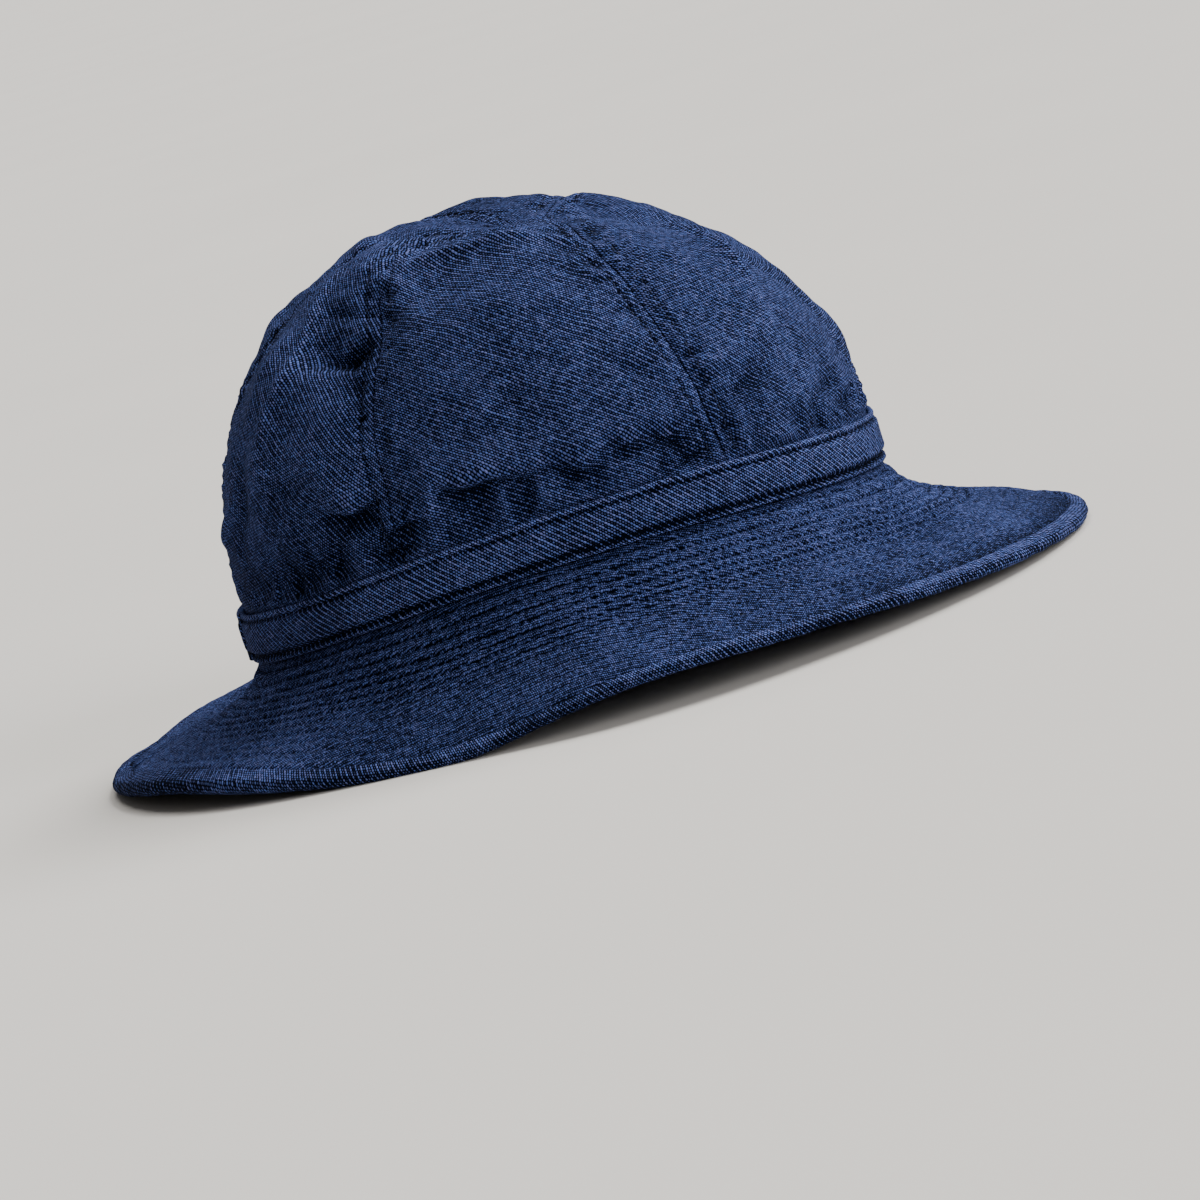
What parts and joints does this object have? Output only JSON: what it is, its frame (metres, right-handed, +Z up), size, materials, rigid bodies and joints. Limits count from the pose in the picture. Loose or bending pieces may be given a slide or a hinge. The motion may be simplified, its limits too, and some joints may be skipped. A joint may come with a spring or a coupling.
{
  "type": "fatigue hat",
  "caption": "Soft twill fatigue hat: a rounded crown of sewn panels, a folded band round its foot and a sloping brim with rows of stitching and a turned edge.",
  "frame": {"origin": "on the surface that the hat rests on, under the middle of its outline", "axes": "+X to the front of the hat, +Y to the wearer's left, +Z up"},
  "size_m": [0.3258, 0.28, 0.1477],
  "materials": {
    "twill": "matte indigo cotton twill"
  },
  "bodies": {
    "root": {"crown_panel_back_right": "twill", "crown_panel_side_right": "twill", "crown_panel_front_right": "twill", "crown_panel_front_left": "twill", "crown_panel_side_left": "twill", "crown_panel_back_left": "twill", "hat_band": "twill", "brim": "twill"}
  },
  "joints": []
}
